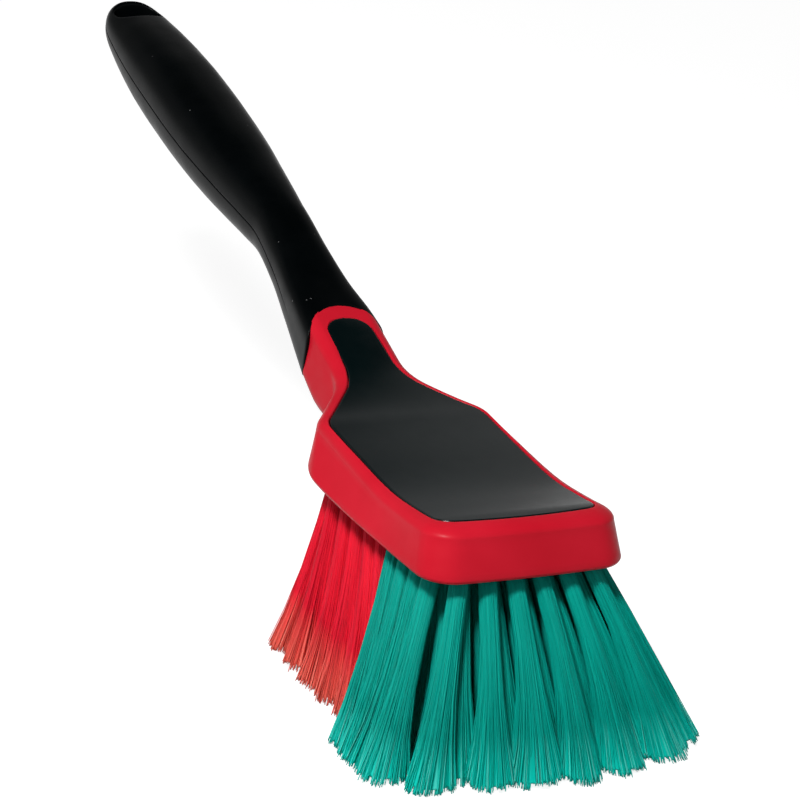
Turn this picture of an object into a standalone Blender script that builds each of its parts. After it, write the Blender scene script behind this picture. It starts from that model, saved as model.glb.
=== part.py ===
"""A hand-held scrub brush: black core with a tang, red bumper, soft black grip and rows of bristle tufts.

The brush stands on its bristle tips on z = 0. X runs across it and is its plane of symmetry's normal,
the head's front faces -Y and the handle's end faces +Y. Lengths are in metres.
"""

import math
import random

import bmesh
import bpy
import numpy as np
from mathutils import geometry

# Overall sizes
BODY_LENGTH = 0.3155
HEAD_LENGTH = 0.1320
BRISTLE_DROP = 0.0522
SEAT_GAP = 0.0003
OVERRUN = 0.0040

# Head profile, seen from the side
BLOCK_HEIGHT = 0.0133
TOP_RISE = 0.0190
UNDER_RISE = 0.0133
TOP_LINE_SHARES = (
    (0.0, 0.25), (0.14, 0.08), (0.27, 0.0), (0.45, 0.075), (0.62, 0.185),
    (0.765, 0.42), (0.886, 0.71), (1.0, 1.0), (1.04, 1.09),
)
UNDER_LINE_SHARES = (
    (-0.04, 0.11), (0.15, 0.04), (0.34, 0.0), (0.47, 0.02), (0.55, 0.08), (0.65, 0.21), (0.76, 0.26),
    (0.856, 0.32), (0.924, 0.58), (1.0, 1.0), (1.04, 1.18),
)

# Panel: the bare black top of the core, a keyhole in plan
PANEL_FRONT = 0.0048
PANEL_BOW = 0.0033
PANEL_WIDTH = 0.0542
PANEL_SHOULDER_WIDTH = 0.0546
PANEL_SHOULDER_Y = 0.0798
PANEL_NECK_WIDTH = 0.0176
PANEL_NECK_Y = 0.1005
PANEL_END_WIDTH = 0.0156
PANEL_END_Y = 0.1270
PANEL_CORNER_RADIUS = 0.0050
PANEL_END_RADIUS = 0.0066
END_BOW = 0.0008
PANEL_SHOULDER_RADIUS = 0.0098
PANEL_WAIST_RADIUS = 0.0200

# Bumper: the red frame moulded round the core
RIM_DROP = 0.0032
RIM_FRONT = -0.0016
RIM_BOW = 0.0024
RIM_WIDTH = 0.0654
RIM_SHOULDER_WIDTH = 0.0592
RIM_SHOULDER_Y = 0.0832
RIM_NECK_WIDTH = 0.0252
RIM_NECK_Y = 0.1022
RIM_CORNER_RADIUS = 0.0090
RIM_SHOULDER_RADIUS = 0.0080
RIM_WAIST_RADIUS = 0.0180
FOOT_FRONT = -0.0055
FOOT_BOW = 0.0014
FOOT_WIDTH = 0.0686
FOOT_REAR_WIDTH = 0.0706
FOOT_REAR_Y = 0.0815
FOOT_NECK_WIDTH = 0.0290
FOOT_NECK_Y = 0.0915
FOOT_END_WIDTH = 0.0274
FOOT_CORNER_RADIUS = 0.0100
FOOT_REAR_RADIUS = 0.0190
FOOT_WAIST_RADIUS = 0.0090
FOOT_EDGE_RADIUS = 0.0016
NECK_EDGE_RADIUS = 0.0062
BUMPER_WALL = 0.0026
JOINT_TOP_Y = 0.1326
JOINT_ARCH = 0.0069
JOINT_REACH = 0.0191

# Core: the block that holds the tufts, and the tang inside the grip
CORE_LIFT = 0.0008
CORE_END_Y = 0.1180
CORE_CORNER_RADIUS = 0.0082
CORE_END_RADIUS = 0.0084
TANG_START_Y = 0.0980
TANG_CLEARANCE = 0.0087

# Grip: the soft sleeve of the handle, with its hang hole
HANDLE_START_Y = 0.1160
GRIP_WIDTH = 0.0301
GRIP_HEIGHT = 0.0271
GRIP_WALL = 0.0030
HANDLE_BASE = 0.0150
HANDLE_RISE = 0.0590
NECK_POWER = 0.55
ROUND_POWER = 0.86
BOXY_SHARE = 0.30
HANDLE_SHARES = (
    (0.0, 0.0, 0.979, 0.82), (0.075, 0.125, 0.903, 0.726), (0.15, 0.231, 0.785, 0.668),
    (0.225, 0.351, 0.692, 0.683), (0.3, 0.456, 0.662, 0.739), (0.355, 0.499, 0.726, 0.807),
    (0.425, 0.547, 0.827, 0.879), (0.495, 0.597, 0.918, 0.949), (0.57, 0.65, 0.978, 0.98),
    (0.645, 0.706, 1.0, 0.997), (0.715, 0.758, 0.989, 1.0), (0.79, 0.812, 0.963, 0.945),
    (0.86, 0.867, 0.906, 0.835), (0.91, 0.909, 0.844, 0.716), (0.948, 0.944, 0.773, 0.613),
    (0.975, 0.975, 0.638, 0.507), (0.992, 0.996, 0.391, 0.345), (1.0, 0.993, 0.129, 0.162),
)
HANG_HOLE_WIDTH = 0.0170
HANG_HOLE_LENGTH = 0.0122
HANG_HOLE_SETBACK = 0.0107
HANG_HOLE_POWER = 0.80

# Bristles: rows of tufts, each row set in its own slice of the core's tuft bed
TEAL_ROWS = 5
RED_ROWS = 6
TUFTS_PER_ROW = 7
FRONT_SETBACK = 0.0103
REAR_SETBACK = 0.0029
BED_MARGIN = 0.0040
BED_TOP = 0.0046
TUFT_EDGE = 0.0030
STRAND_PITCH = 0.00175
STRAND_ROOT_RADIUS = 0.00080
STRAND_COLUMNS = 3
STRAND_LINES = 2
STRAND_SIDES = 3
TIP_FRONT_Y = -0.0300
TEAL_TIP_PITCH = 0.0066
RED_TIP_PITCH = 0.0107
TIP_BOW = 0.0110
TIP_BOW_WIDTH = 0.1200
TEAL_SPREAD_SHARE = 2.15
RED_SPREAD_SHARE = 1.60
TIP_SHARE = 0.37
BEND_SHARES = (0.5, 0.42)
RAGGED = 0.0022
FLAT_CUT = 0.0005
TIP_STRAY = 0.0003

# Sizes that follow from those above
HANG_HOLE_Y = BODY_LENGTH - HANG_HOLE_SETBACK
TANG_END_Y = HANG_HOLE_Y - HANG_HOLE_LENGTH / 2 - TANG_CLEARANCE
ROWS = TEAL_ROWS + RED_ROWS
BED_WIDTH = FOOT_WIDTH - (BUMPER_WALL + BED_MARGIN) * 2
TUFT_PITCH = (BED_WIDTH - TUFT_EDGE * 2) / (TUFTS_PER_ROW - 1)
FIRST_ROW_Y = FOOT_FRONT + FRONT_SETBACK
ROW_PITCH = (FOOT_REAR_Y - REAR_SETBACK - FIRST_ROW_Y) / (ROWS - 1)

# Colours, as linear light, with their roughness
CORE_BLACK = (0.020, 0.026, 0.025), 0.35
BUMPER_RED = (0.630, 0.012, 0.030), 0.42
GRIP_BLACK = (0.012, 0.013, 0.014), 0.55
BRISTLE_TEAL = (0.0, 0.350, 0.270), 0.45
BRISTLE_RED = (0.600, 0.020, 0.040), 0.45

# How finely round stretches are divided, and how near two points are one
WELD = 0.0000001
ARC_STEPS = 4
SIDE_STEPS = 4
JOINT_STEPS = 6
HANDLE_SIDES = 24
TANG_SIDES = 14


def clear_scene():
    for thing in list(bpy.data.objects):
        bpy.data.objects.remove(thing, do_unlink=True)


def smooth_line(places, values, at):
    """Monotone cubic through the points: no overshoot between two of them."""
    x, y = np.asarray(places, float), np.asarray(values, float)
    step = np.diff(x)
    slope = np.diff(y) / step
    middle = np.zeros_like(x)
    same_way = slope[:-1] * slope[1:] > 0
    weight_a, weight_b = 2 * step[1:] + step[:-1], step[1:] + 2 * step[:-1]
    safe_a = np.where(same_way, slope[:-1], 1.0)
    safe_b = np.where(same_way, slope[1:], 1.0)
    mean = (weight_a + weight_b) / (weight_a / safe_a + weight_b / safe_b)
    middle[1:-1] = np.where(same_way, mean, 0.0)
    middle[0], middle[-1] = slope[0], slope[-1]
    at = np.clip(np.asarray(at, float), x[0], x[-1])
    i = np.clip(np.searchsorted(x, at) - 1, 0, len(x) - 2)
    t = (at - x[i]) / step[i]
    left = (1 + 2 * t) * (1 - t) ** 2 * y[i] + t * (1 - t) ** 2 * step[i] * middle[i]
    right = t * t * (3 - 2 * t) * y[i + 1] + t * t * (t - 1) * step[i] * middle[i + 1]
    return left + right


def top_line(y):
    places, rises = zip(*TOP_LINE_SHARES)
    low = BRISTLE_DROP + BLOCK_HEIGHT
    return low + TOP_RISE * smooth_line(places, rises, np.asarray(y) / HEAD_LENGTH)


def under_line(y):
    places, rises = zip(*UNDER_LINE_SHARES)
    return BRISTLE_DROP + UNDER_RISE * smooth_line(places, rises, np.asarray(y) / HEAD_LENGTH)


def rounded_path(corners):
    """Points along half an outline: its corners are (x, y, radius), and each is rounded by an arc."""
    points = [np.array(corners[0][:2])]
    for before, (cx, cy, radius), after in zip(corners, corners[1:], corners[2:]):
        corner = np.array((cx, cy))
        back = np.array(before[:2]) - corner
        ahead = np.array(after[:2]) - corner
        back, ahead = back / np.linalg.norm(back), ahead / np.linalg.norm(ahead)
        half = math.acos(max(-1.0, min(1.0, float(back @ ahead)))) / 2
        reach = radius / math.tan(half)
        start, end = corner + back * reach, corner + ahead * reach
        centre = corner + (back + ahead) / np.linalg.norm(back + ahead) * radius / math.sin(half)
        first = points[-1]
        points += [first + (start - first) * k / SIDE_STEPS for k in range(1, SIDE_STEPS + 1)]
        turn = math.pi - 2 * half
        for k in range(1, ARC_STEPS + 1):
            angle = turn * k / ARC_STEPS
            blend = math.sin(angle) / math.sin(turn)
            keep = math.sin(turn - angle) / math.sin(turn)
            points.append(centre + (start - centre) * keep + (end - centre) * blend)
    last, end = points[-1], np.array(corners[-1][:2])
    points += [last + (end - last) * k / SIDE_STEPS for k in range(1, SIDE_STEPS + 1)]
    return np.array(points)


def bowed(points, bow, width):
    """Sets the front edge's ends back by bow, fading out along the first third of the block."""
    x, y = points[:, 0], points[:, 1]
    fade = np.clip(1 - y / (FOOT_REAR_Y / 3), 0, 1)
    return np.stack([x, y + bow * fade * (x / (width / 2)) ** 2], 1)


def panel_half(end_y, closed, grow):
    corners = [
        (0, PANEL_FRONT - grow, 0),
        (PANEL_WIDTH / 2 + grow, PANEL_FRONT - grow, PANEL_CORNER_RADIUS),
        (PANEL_SHOULDER_WIDTH / 2 + grow, PANEL_SHOULDER_Y, PANEL_SHOULDER_RADIUS),
        (PANEL_NECK_WIDTH / 2 + grow, PANEL_NECK_Y, PANEL_WAIST_RADIUS),
    ]
    if closed:
        corners += [(PANEL_END_WIDTH / 2 + grow, end_y + grow - END_BOW, PANEL_END_RADIUS)]
        corners += [(0, end_y + grow, 0)]
    else:
        corners += [(PANEL_END_WIDTH / 2 + grow, end_y, 0)]
    return bowed(rounded_path(corners), PANEL_BOW, PANEL_WIDTH)


def rim_half(end_y):
    corners = (
        (0, RIM_FRONT, 0),
        (RIM_WIDTH / 2, RIM_FRONT, RIM_CORNER_RADIUS),
        (RIM_SHOULDER_WIDTH / 2, RIM_SHOULDER_Y, RIM_SHOULDER_RADIUS),
        (RIM_NECK_WIDTH / 2, RIM_NECK_Y, RIM_WAIST_RADIUS),
        (RIM_NECK_WIDTH / 2, end_y, 0),
    )
    return bowed(rounded_path(corners), RIM_BOW, RIM_WIDTH)


def foot_half(end_y, inset, closed):
    """Outline of the head's underside, or of the core's foot, which lies a wall's width inside it."""
    corners = [
        (0, FOOT_FRONT + inset, 0),
        (FOOT_WIDTH / 2 - inset, FOOT_FRONT + inset, CORE_CORNER_RADIUS if closed else FOOT_CORNER_RADIUS),
        (FOOT_REAR_WIDTH / 2 - inset, FOOT_REAR_Y - inset, FOOT_REAR_RADIUS - inset / 2),
        (FOOT_NECK_WIDTH / 2 - inset, FOOT_NECK_Y - inset, FOOT_WAIST_RADIUS),
    ]
    if closed:
        corners += [(FOOT_END_WIDTH / 2 - inset, end_y - END_BOW, CORE_END_RADIUS), (0, end_y, 0)]
    else:
        corners += [(FOOT_END_WIDTH / 2 - inset, end_y, 0)]
    return bowed(rounded_path(corners), FOOT_BOW, FOOT_WIDTH)


def outward(points):
    """Unit normals of half an outline, pointing out of the head."""
    along = np.gradient(points, axis=0)
    along /= np.linalg.norm(along, axis=1)[:, None]
    normal = np.stack([along[:, 1], -along[:, 0]], 1)
    normal[0] = (0, -1)
    return normal


def level(points, heights):
    return np.column_stack([points, heights])


def mesh_object(name, vertices, faces, material, helper=False):
    mesh = bpy.data.meshes.new(name)
    mesh.from_pydata([tuple(map(float, v)) for v in vertices], [], faces)
    solid = bmesh.new()
    solid.from_mesh(mesh)
    bmesh.ops.remove_doubles(solid, verts=solid.verts, dist=WELD)
    bmesh.ops.recalc_face_normals(solid, faces=solid.faces)
    solid.to_mesh(mesh)
    solid.free()
    mesh.shade_smooth()
    mesh.set_sharp_from_angle(angle=math.radians(38))
    made = bpy.data.objects.new(name, mesh)
    bpy.context.scene.collection.objects.link(made)
    if material:
        mesh.materials.append(material)
    if helper:
        made.hide_render = True
        made.display_type = "WIRE"
    return made


def stacked(name, levels, material=None, helper=False):
    """A solid between levels of half outlines, each mirrored in x = 0, with strips across its two ends."""
    count = len(levels[0])
    vertices, faces = [], []
    index = {}
    for j, points in enumerate(levels):
        for k, (x, y, z) in enumerate(points):
            for side in (1, -1):
                index[j, k, side] = len(vertices)
                vertices.append((side * x, y, z))
    last = len(levels) - 1
    for k in range(count - 1):
        for j in range(last):
            for side in (1, -1):
                a, b = index[j, k, side], index[j, k + 1, side]
                c, d = index[j + 1, k + 1, side], index[j + 1, k, side]
                faces += [[a, b, c], [a, c, d]] if side > 0 else [[c, b, a], [d, c, a]]
        for j in (0, last):
            faces.append([index[j, k, 1], index[j, k, -1], index[j, k + 1, -1], index[j, k + 1, 1]])
    if levels[0][-1][0] > 0:
        right = [index[j, count - 1, 1] for j in range(last + 1)]
        left = [index[j, count - 1, -1] for j in range(last, -1, -1)]
        faces.append(right + left)
    return mesh_object(name, vertices, clean(vertices, faces), material, helper)


def clean(vertices, faces):
    """Drops the corners of a face that share one place, and faces with fewer than three left."""
    kept = []
    for face in faces:
        places = []
        for i in face:
            if not any(math.dist(vertices[i], vertices[j]) < WELD for j in places):
                places.append(i)
        if len(places) > 2:
            kept.append(places)
    return kept


def lofted(name, rings, material=None, helper=False):
    """A solid through rings of points, closed by a face at each end."""
    sides = len(rings[0])
    vertices = [tuple(point) for ring in rings for point in ring]
    faces = [list(range(sides))[::-1]]
    faces.append([(len(rings) - 1) * sides + i for i in range(sides)])
    for k in range(len(rings) - 1):
        for i in range(sides):
            a, b = k * sides + i, k * sides + (i + 1) % sides
            faces.append([a, b, b + sides, a + sides])
    return mesh_object(name, vertices, faces, material, helper)


def slab(name, outline, low, high, material=None, helper=False):
    """An outline of (x, y) points between two heights."""
    rings = [[(x, y, z) for x, y in outline] for z in (low, high)]
    return lofted(name, rings, material, helper)


def boolean(target, tool, operation):
    step = target.modifiers.new(f"{operation.lower()} {tool.name}", "BOOLEAN")
    step.operation = operation
    step.object = tool
    step.solver = "EXACT"


def plastic(name, look):
    colour, roughness = look
    material = bpy.data.materials.new(name)
    material.use_nodes = True
    shader = material.node_tree.nodes["Principled BSDF"]
    shader.inputs["Base Color"].default_value = (*colour, 1.0)
    shader.inputs["Roughness"].default_value = roughness
    shader.inputs["Metallic"].default_value = 0.0
    material.diffuse_color = (*colour, 1.0)
    return material


def head_form():
    """The head and neck from outside: panel surface, rounded rim, drafted wall and rounded foot."""
    end_y = HEAD_LENGTH * TOP_LINE_SHARES[-1][0]
    panel, rim, foot = panel_half(end_y, False, 0), rim_half(end_y), foot_half(end_y, 0, False)
    top = top_line(panel[:, 1])
    levels = [level(panel, top)]
    for k in range(1, ARC_STEPS + 1):
        angle = math.pi / 2 * k / ARC_STEPS
        edge = panel + (rim - panel) * math.sin(angle)
        levels.append(level(edge, top - RIM_DROP * (1 - math.cos(angle))))
    low = under_line(foot[:, 1])
    along = np.clip((foot[:, 1] - FOOT_NECK_Y) / (HEAD_LENGTH - FOOT_NECK_Y), 0, 1)
    radius = FOOT_EDGE_RADIUS + (NECK_EDGE_RADIUS - FOOT_EDGE_RADIUS) * along * (2 - along)
    normal = outward(foot)
    for k in range(ARC_STEPS + 1):
        angle = math.pi / 2 * k / ARC_STEPS
        edge = foot - normal * (radius * (1 - math.cos(angle)))[:, None]
        edge[0, 0], edge[:, 1] = 0, np.minimum(edge[:, 1], end_y)
        edge[-1, 1] = end_y
        levels.append(level(edge, low + radius * (1 - math.sin(angle))))
    return levels


def core_levels(grow):
    """The core's block: the panel on top, a drafted wall, and a foot lifted clear under the neck."""
    panel = panel_half(PANEL_END_Y, True, grow)
    foot = foot_half(CORE_END_Y + grow, BUMPER_WALL - grow, True)
    along = foot_half(CORE_END_Y, BUMPER_WALL, True)[:, 1]
    neck = np.clip((along - FOOT_REAR_Y) / (FOOT_NECK_Y - FOOT_REAR_Y), 0, 1)
    lift = CORE_LIFT + (BUMPER_WALL - CORE_LIFT) * neck * neck * (3 - 2 * neck)
    low = under_line(along) + lift - np.where(neck > 0, grow, 0)
    return [level(panel, top_line(panel[:, 1])), level(foot, low)], neck > 0


def pocket_levels():
    """The core's own levels, a gap larger and run on past the head's top and its open foot."""
    (panel, foot), neck = core_levels(SEAT_GAP)
    above, below = panel.copy(), foot.copy()
    above[:, 2] += OVERRUN
    below[~neck, 2] -= OVERRUN
    return [above, panel, foot, below]


def oval(half_width, half_height, power, sides):
    """Points round an oval: a power of one is an ellipse, and less is boxier."""
    points = []
    for k in range(sides):
        angle = 2 * math.pi * k / sides
        c, s = math.cos(angle), math.sin(angle)
        across = half_width * math.copysign(abs(c) ** power, c)
        points.append((across, half_height * math.copysign(abs(s) ** power, s)))
    return points


def handle_ring(y, inset, sides):
    """One upright section of the handle, boxy by the neck and rounder behind, brought in by inset."""
    along = (y - HANDLE_START_Y) / (BODY_LENGTH - HANDLE_START_Y)
    places, rises, widths, heights = zip(*HANDLE_SHARES)
    middle = BRISTLE_DROP + HANDLE_BASE + HANDLE_RISE * float(smooth_line(places, rises, along))
    half_width = GRIP_WIDTH / 2 * float(smooth_line(places, widths, along)) - inset
    half_height = GRIP_HEIGHT / 2 * float(smooth_line(places, heights, along)) - inset
    power = float(smooth_line((0, BOXY_SHARE, 1), (NECK_POWER, ROUND_POWER, ROUND_POWER), along))
    return [(x, y, middle + z) for x, z in oval(half_width, half_height, power, sides)]


def tang_rings(grow):
    """The tang follows the neck, then the handle, a wall's width inside both."""
    rings = []
    steps = 15
    for k in range(steps + 1):
        y = TANG_START_Y + (TANG_END_Y - TANG_START_Y) * k / steps
        if y > HEAD_LENGTH:
            rings.append(handle_ring(y, GRIP_WALL + SEAT_GAP - grow, TANG_SIDES))
            continue
        high = float(top_line(y)) - GRIP_WALL - SEAT_GAP + grow
        low = float(under_line(y)) + BUMPER_WALL + SEAT_GAP - grow
        half = RIM_NECK_WIDTH / 2 - BUMPER_WALL - SEAT_GAP + grow
        points = oval(half, (high - low) / 2, ROUND_POWER, TANG_SIDES)
        rings.append([(x, y, (high + low) / 2 + z) for x, z in points])
    ends = [[(x, y + grow * way, z) for x, y, z in rings[i]] for i, way in ((0, -1), (-1, 1))]
    return [ends[0]] + rings[1:-1] + [ends[1]]


def joint_cutter(name, behind, gap):
    """A block of space on one side of the joint, which arches back from the neck's two sides."""
    far = JOINT_TOP_Y + (BODY_LENGTH if behind else -HEAD_LENGTH)
    high = BRISTLE_DROP + HEAD_LENGTH
    rings = []
    for k in range(-JOINT_STEPS, JOINT_STEPS + 1):
        x = JOINT_REACH * k / JOINT_STEPS
        near = JOINT_TOP_Y + gap - JOINT_ARCH * (x / (RIM_NECK_WIDTH / 2)) ** 2
        rings.append([(x, near, 0), (x, near, high), (x, far, high), (x, far, 0)])
    return lofted(name, rings, helper=True)


def row_place(row):
    """Middle of a row, the front of its slice and the back."""
    middle = FIRST_ROW_Y + row * ROW_PITCH
    half = (ROW_PITCH - SEAT_GAP) / 2
    return middle, middle - half, middle + half


def tufts_in(row):
    count = TUFTS_PER_ROW - 1 if row in (0, ROWS - 1) else TUFTS_PER_ROW
    return [(k - (count - 1) / 2) * TUFT_PITCH for k in range(count)]


def slice_half(row):
    return max(tufts_in(row)) + TUFT_EDGE


def bed_outline():
    """Stepped outline of the tuft bed: the end rows are a tuft shorter than the others."""
    last = ROWS - 1
    short, wide = slice_half(0) + SEAT_GAP, slice_half(1) + SEAT_GAP
    ys = [row_place(0)[1] - SEAT_GAP, row_place(1)[1] - SEAT_GAP]
    ys += [row_place(last - 1)[2] + SEAT_GAP, row_place(last)[2] + SEAT_GAP]
    right = [(short, ys[0]), (short, ys[1]), (wide, ys[1]), (wide, ys[2]), (short, ys[2]), (short, ys[3])]
    return right + [(-x, y) for x, y in right[::-1]]


def spread(row):
    """How far a row's tufts spread across by the tips, and how far apart its tips lie along the brush."""
    return (TEAL_SPREAD_SHARE, TEAL_TIP_PITCH) if row < TEAL_ROWS else (RED_SPREAD_SHARE, RED_TIP_PITCH)


def strand_path(row, tuft, column, line, rng):
    """Root, bend and tip of one strand, in mirror pairs across x = 0."""
    middle, _, _ = row_place(row)
    flare, _ = spread(row)
    across = (column - (STRAND_COLUMNS - 1) / 2) * STRAND_PITCH
    along = (line - (STRAND_LINES - 1) / 2) * STRAND_PITCH
    root_x, root_y = tuft + across, middle + along
    tip_x = (tuft + across * TUFT_PITCH / STRAND_COLUMNS / STRAND_PITCH) * flare
    rank = row + along / STRAND_PITCH / STRAND_LINES
    tip_y = TIP_FRONT_Y + TEAL_TIP_PITCH * rank
    tip_y += (RED_TIP_PITCH - TEAL_TIP_PITCH) * max(0, rank - TEAL_ROWS + 1 / 2)
    tip_y += TIP_BOW * (tip_x / (TIP_BOW_WIDTH / 2)) ** 2
    tip_y += TIP_STRAY * rng.uniform(-1, 1)
    tip_z = max(0.0, RAGGED * rng.random() - FLAT_CUT)
    return (root_x, root_y), (tip_x, tip_y), tip_z


def strand_rings(root, tip, root_z, tip_z, tip_radius):
    bend_down, bend_out = BEND_SHARES
    rings = []
    for down, out in ((0, 0), (bend_down, bend_out), (1, 1)):
        radius = STRAND_ROOT_RADIUS + (tip_radius - STRAND_ROOT_RADIUS) * out
        x, y = root[0] + (tip[0] - root[0]) * out, root[1] + (tip[1] - root[1]) * out
        z = root_z + (tip_z - root_z) * down
        turn = [2 * math.pi * k / STRAND_SIDES - math.pi / 2 for k in range(STRAND_SIDES)]
        rings.append([(x + radius * math.cos(a), y + radius * math.sin(a), z) for a in turn])
    return rings


def tuft_row(name, row, material):
    """A slice of the tuft bed with its strands, joined into one closed surface."""
    middle, front, back = row_place(row)
    half = slice_half(row)
    low = float(under_line(middle)) + CORE_LIFT
    high = BRISTLE_DROP + BED_TOP
    flare, tip_pitch = spread(row)
    tip_radius = TIP_SHARE * min(TUFT_PITCH / STRAND_COLUMNS * flare, tip_pitch / STRAND_LINES)
    corners = [(-half, front), (half, front), (half, back), (-half, back)]
    vertices = [(x, y, low) for x, y in corners] + [(x, y, high) for x, y in corners]
    faces = [[4, 5, 6, 7]] + [[k, (k + 1) % 4, 4 + (k + 1) % 4, 4 + k] for k in range(4)]
    flat = list(range(4))
    loops = [list(flat)]
    tufts = tufts_in(row)
    across = len(tufts) * STRAND_COLUMNS
    for place, tuft in enumerate(tufts):
        for column in range(STRAND_COLUMNS):
            for line in range(STRAND_LINES):
                pair = abs((place * STRAND_COLUMNS + column) * 2 + 1 - across)
                rng = random.Random(f"{row} {pair} {line}")
                root, tip, tip_z = strand_path(row, tuft, column, line, rng)
                start = len(vertices)
                for ring in strand_rings(root, tip, low, tip_z, tip_radius):
                    vertices += ring
                loops.append(list(range(start, start + STRAND_SIDES)))
                flat += loops[-1]
                for k in range(2):
                    for i in range(STRAND_SIDES):
                        a = start + k * STRAND_SIDES + i
                        b = start + k * STRAND_SIDES + (i + 1) % STRAND_SIDES
                        faces.append([a, b, b + STRAND_SIDES, a + STRAND_SIDES])
                faces.append([start + 2 * STRAND_SIDES + i for i in range(STRAND_SIDES)])
    faces += floor_faces(vertices, flat, loops)
    return mesh_object(name, vertices, faces, material)


def floor_faces(vertices, flat, loops):
    """Triangles of the slice's lower face, left open where each strand's root joins it."""
    order = {v: i for i, v in enumerate(flat)}
    scale = 1 / STRAND_ROOT_RADIUS
    points = [(vertices[v][0] * scale, vertices[v][1] * scale) for v in flat]
    inner = [[order[v] for v in loop] for loop in loops]
    found = geometry.delaunay_2d_cdt(points, [], inner, 1, 1e-4)
    _, _, triangles, old_points, _, old_faces = found
    return [
        [flat[old_points[i][0]] for i in triangle]
        for triangle, owners in zip(triangles, old_faces)
        if list(owners) == [0]
    ]


def make_bumper(material):
    bumper = stacked("bumper", head_form(), material)
    pocket = stacked("bumper_pocket", pocket_levels(), helper=True)
    channel = lofted("tang_channel", tang_rings(SEAT_GAP), helper=True)
    boolean(bumper, pocket, "DIFFERENCE")
    boolean(bumper, channel, "DIFFERENCE")
    boolean(bumper, joint_cutter("behind_joint", True, 0), "DIFFERENCE")
    return bumper, channel


def make_core(material):
    core = stacked("core", core_levels(0)[0], material)
    tang = lofted("tang_form", tang_rings(0), helper=True)
    low, high = BRISTLE_DROP - OVERRUN, BRISTLE_DROP + BED_TOP + SEAT_GAP
    bed = slab("tuft_bed", bed_outline(), low, high, helper=True)
    boolean(core, tang, "UNION")
    boolean(core, bed, "DIFFERENCE")
    return core


def make_grip(material, channel):
    steps = [share[0] for share in HANDLE_SHARES]
    middles = [(a + b) / 2 for a, b in zip(steps, steps[1:])]
    places = sorted(steps + middles)
    length = BODY_LENGTH - HANDLE_START_Y
    rings = [handle_ring(HANDLE_START_Y + length * share, 0, HANDLE_SIDES) for share in places]
    grip = lofted("grip", rings, material)
    boolean(grip, channel, "DIFFERENCE")
    boolean(grip, joint_cutter("ahead_of_joint", False, SEAT_GAP), "DIFFERENCE")
    hole = []
    for k in range(HANDLE_SIDES):
        angle = 2 * math.pi * k / HANDLE_SIDES
        c, s = math.cos(angle), math.sin(angle)
        x = HANG_HOLE_WIDTH / 2 * math.copysign(abs(c) ** HANG_HOLE_POWER, c)
        y = HANG_HOLE_LENGTH / 2 * math.copysign(abs(s) ** HANG_HOLE_POWER, s)
        hole.append((x, HANG_HOLE_Y + y))
    base = BRISTLE_DROP + HANDLE_BASE
    top = base + HANDLE_RISE + GRIP_HEIGHT
    boolean(grip, slab("hang_hole", hole, base, top, helper=True), "DIFFERENCE")
    return grip


def make_tuft_rows(teal, red):
    rows = []
    for row in range(ROWS):
        if row < TEAL_ROWS:
            rows.append(tuft_row(f"teal_tuft_row_{row + 1}", row, teal))
        else:
            rows.append(tuft_row(f"red_tuft_row_{row + 1 - TEAL_ROWS}", row, red))
    return rows


clear_scene()
bumper, channel = make_bumper(plastic("bumper red", BUMPER_RED))
core = make_core(plastic("core black", CORE_BLACK))
grip = make_grip(plastic("grip black", GRIP_BLACK), channel)
rows = make_tuft_rows(plastic("bristle teal", BRISTLE_TEAL), plastic("bristle red", BRISTLE_RED))

# The origin goes under the middle of the brush's length, so the whole assembly hangs from an empty there
front_y = min(v.co.y for row in rows for v in row.data.vertices)
brush = bpy.data.objects.new("scrub_brush", None)
brush.location = (0, -(front_y + BODY_LENGTH) / 2, 0)
bpy.context.scene.collection.objects.link(brush)
for piece in list(bpy.context.scene.objects):
    if piece is not brush:
        piece.parent = brush
print("front of the bristles", round(front_y, 5), "origin at", round(-brush.location.y, 5))
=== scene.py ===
import math

import bmesh
import bpy
import numpy as np
from mathutils import Matrix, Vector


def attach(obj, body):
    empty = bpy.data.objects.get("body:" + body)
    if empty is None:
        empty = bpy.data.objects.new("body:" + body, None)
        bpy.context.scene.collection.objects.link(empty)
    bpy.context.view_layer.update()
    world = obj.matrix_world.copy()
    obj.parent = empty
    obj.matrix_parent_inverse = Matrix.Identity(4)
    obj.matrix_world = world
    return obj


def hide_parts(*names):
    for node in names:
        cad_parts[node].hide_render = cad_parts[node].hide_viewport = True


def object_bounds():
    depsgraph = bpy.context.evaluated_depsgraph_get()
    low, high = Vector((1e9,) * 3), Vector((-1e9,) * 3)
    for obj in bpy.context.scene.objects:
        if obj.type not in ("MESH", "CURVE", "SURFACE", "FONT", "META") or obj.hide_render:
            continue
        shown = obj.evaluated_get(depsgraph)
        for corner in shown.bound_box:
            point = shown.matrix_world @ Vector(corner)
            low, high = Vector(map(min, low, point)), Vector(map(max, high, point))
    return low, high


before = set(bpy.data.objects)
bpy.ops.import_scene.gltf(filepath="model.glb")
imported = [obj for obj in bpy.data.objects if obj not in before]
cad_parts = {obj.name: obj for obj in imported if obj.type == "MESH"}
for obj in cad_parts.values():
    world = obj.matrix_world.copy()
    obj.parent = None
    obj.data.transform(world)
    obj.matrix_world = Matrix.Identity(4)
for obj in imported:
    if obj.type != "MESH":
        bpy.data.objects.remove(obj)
cad_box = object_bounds()

# The camera stands ahead of the brush, to its left and a little above it, and leans to one side.
# Places along the brush are measured from near the head's front end towards the handle, as on
# a maker's bench, and BENCH_Y is where that zero lies in the frame.
BODY_LENGTH = 0.3155
BENCH_Y = cad_box[1][1] - BODY_LENGTH
CAMERA_X, CAMERA_Y, CAMERA_Z = -0.46544, -0.69510, 0.44079
CAMERA_AZIMUTH = math.radians(-30.83)
CAMERA_ELEVATION = math.radians(22.11)
CAMERA_ROLL = math.radians(8.11)
CAMERA_LENS = 141.96


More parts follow.
